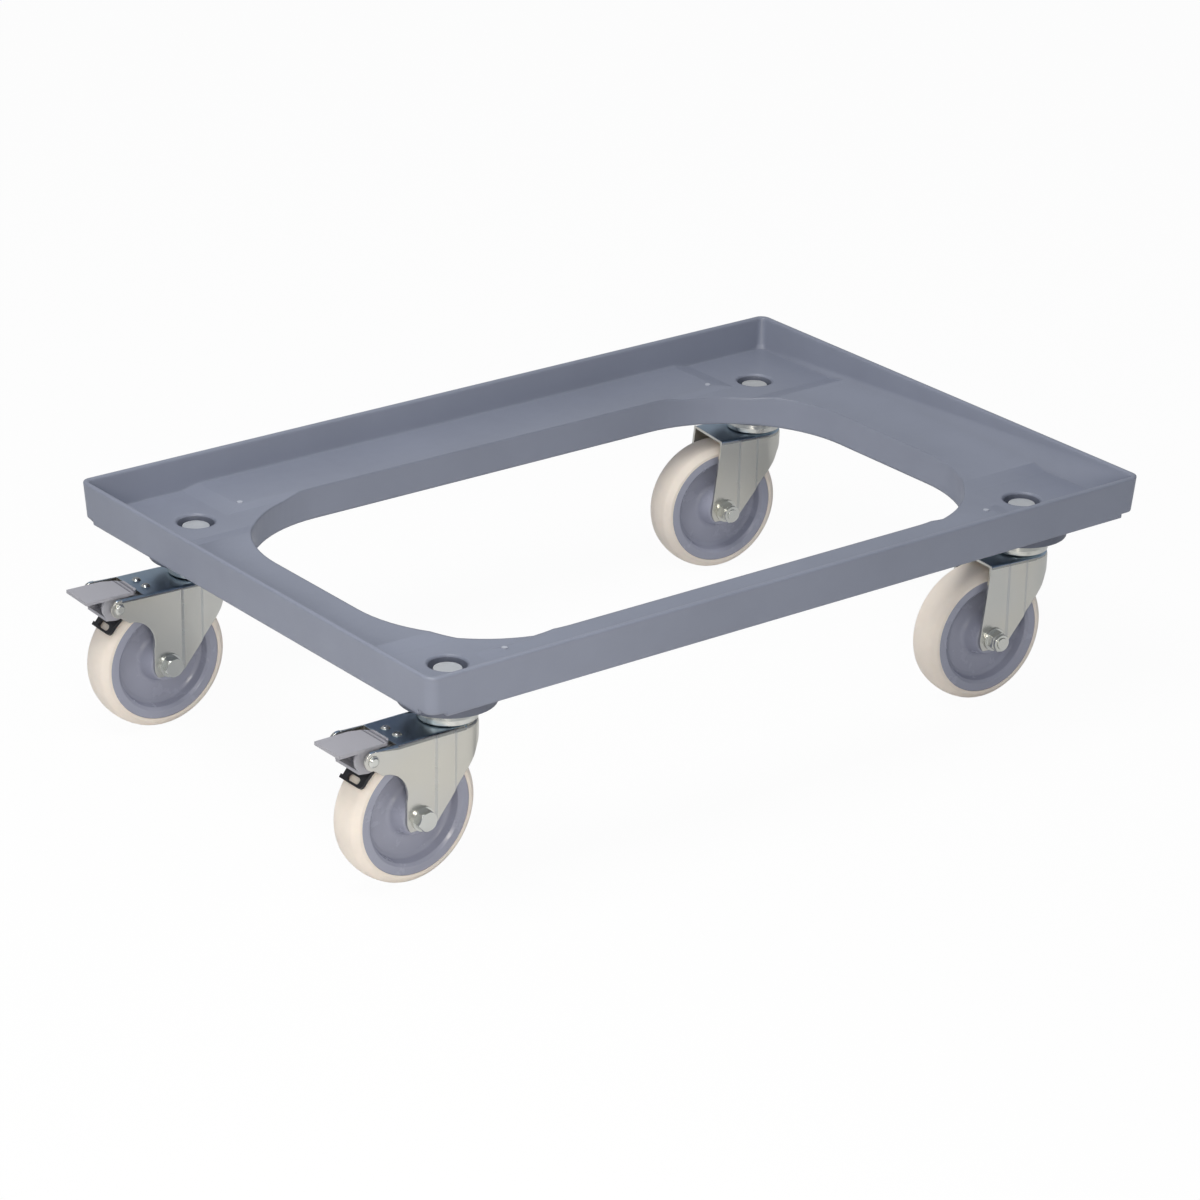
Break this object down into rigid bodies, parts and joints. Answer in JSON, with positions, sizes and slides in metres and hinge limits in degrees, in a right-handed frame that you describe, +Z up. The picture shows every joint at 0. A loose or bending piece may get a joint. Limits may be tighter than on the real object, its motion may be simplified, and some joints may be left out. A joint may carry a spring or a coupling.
{
  "type": "crate dolly",
  "caption": "Low rectangular dolly for stacking crates: moulded deck with a raised rim and a large opening, on swivel casters, with brake pedals at one end.",
  "frame": {"origin": "centre of the whole object's bounding box at floor level; the deck's own middle lies 19.8 mm toward +X because the two brake pedals reach out at -X", "axes": "+X along the long side, away from the end with the brakes; +Y across, away from the viewer of the picture; +Z up from the floor"},
  "size_m": [0.6546, 0.415, 0.167],
  "materials": {
    "deck_plastic": "satin moulded plastic, blue-grey",
    "wheel_plastic": "satin moulded plastic, lavender-grey",
    "pedal_plastic": "satin moulded plastic, light lavender-grey",
    "black_plastic": "satin",
    "tread_rubber": "smooth, cream",
    "zinc": "bright zinc plating on pressed steel",
    "steel": "plain"
  },
  "bodies": {
    "deck": {"deck_frame": "deck_plastic", "mount_bolts": "zinc", "mount_washers": "zinc", "mount_nuts": "zinc", "swivel_cup_front_left": "zinc", "king_rivet_front_left": "zinc", "ball_ring_front_left": "steel", "swivel_cup_front_right": "zinc", "king_rivet_front_right": "zinc", "ball_ring_front_right": "steel", "swivel_cup_rear_left": "zinc", "king_rivet_rear_left": "zinc", "ball_ring_rear_left": "steel", "swivel_cup_rear_right": "zinc", "king_rivet_rear_right": "zinc", "ball_ring_rear_right": "steel"},
    "swivel_front_left": {"fork_front_left": "zinc", "bush_front_left": "steel", "axle_bolt_front_left": "zinc", "axle_nut_front_left": "zinc", "pivot_rivet_front_left": "zinc", "brake_blade_front_left": "steel", "blade_rivets_front_left": "zinc"},
    "rolling_front_left": {"wheel_front_left": "wheel_plastic", "tread_front_left": "tread_rubber"},
    "brake_front_left": {"pedal_front_left": "pedal_plastic", "release_tab_front_left": "black_plastic"},
    "swivel_front_right": {"fork_front_right": "zinc", "bush_front_right": "steel", "axle_bolt_front_right": "zinc", "axle_nut_front_right": "zinc"},
    "rolling_front_right": {"wheel_front_right": "wheel_plastic", "tread_front_right": "tread_rubber"},
    "swivel_rear_left": {"fork_rear_left": "zinc", "bush_rear_left": "steel", "axle_bolt_rear_left": "zinc", "axle_nut_rear_left": "zinc", "pivot_rivet_rear_left": "zinc", "brake_blade_rear_left": "steel", "blade_rivets_rear_left": "zinc"},
    "rolling_rear_left": {"wheel_rear_left": "wheel_plastic", "tread_rear_left": "tread_rubber"},
    "brake_rear_left": {"pedal_rear_left": "pedal_plastic", "release_tab_rear_left": "black_plastic"},
    "swivel_rear_right": {"fork_rear_right": "zinc", "bush_rear_right": "steel", "axle_bolt_rear_right": "zinc", "axle_nut_rear_right": "zinc"},
    "rolling_rear_right": {"wheel_rear_right": "wheel_plastic", "tread_rear_right": "tread_rubber"}
  },
  "joints": [
    {"name": "swivel_turn_front_left", "type": "hinge", "parent": "deck", "child": "swivel_front_left", "pos_m": [-0.23071, -0.148, 0.11], "axis": [0, 0, 1], "continuous": true},
    {"name": "wheel_roll_front_left", "type": "hinge", "parent": "swivel_front_left", "child": "rolling_front_left", "pos_m": [-0.26471, -0.14824, 0.05], "axis": [0.007, -1, 0], "continuous": true},
    {"name": "brake_press_front_left", "type": "hinge", "parent": "swivel_front_left", "child": "brake_front_left", "pos_m": [-0.30321, -0.14851, 0.1003], "axis": [0.007, -1, 0], "range_deg": [-10, 0]},
    {"name": "swivel_turn_front_right", "type": "hinge", "parent": "deck", "child": "swivel_front_right", "pos_m": [0.27029, -0.148, 0.11], "axis": [0, 0, 1], "continuous": true},
    {"name": "wheel_roll_front_right", "type": "hinge", "parent": "swivel_front_right", "child": "rolling_front_right", "pos_m": [0.23643, -0.14498, 0.05], "axis": [-0.0889, -0.996, 0], "continuous": true},
    {"name": "swivel_turn_rear_left", "type": "hinge", "parent": "deck", "child": "swivel_rear_left", "pos_m": [-0.23071, 0.148, 0.11], "axis": [0, 0, 1], "continuous": true},
    {"name": "wheel_roll_rear_left", "type": "hinge", "parent": "swivel_rear_left", "child": "rolling_rear_left", "pos_m": [-0.26468, 0.14942, 0.05], "axis": [-0.0419, -0.9991, 0], "continuous": true},
    {"name": "brake_press_rear_left", "type": "hinge", "parent": "swivel_rear_left", "child": "brake_rear_left", "pos_m": [-0.30314, 0.15104, 0.1003], "axis": [-0.0419, -0.9991, 0], "range_deg": [-10, 0]},
    {"name": "swivel_turn_rear_right", "type": "hinge", "parent": "deck", "child": "swivel_rear_right", "pos_m": [0.27029, 0.148, 0.11], "axis": [0, 0, 1], "continuous": true},
    {"name": "wheel_roll_rear_right", "type": "hinge", "parent": "swivel_rear_right", "child": "rolling_rear_right", "pos_m": [0.23665, 0.15291, 0.05], "axis": [-0.1444, -0.9895, 0], "continuous": true}
  ]
}
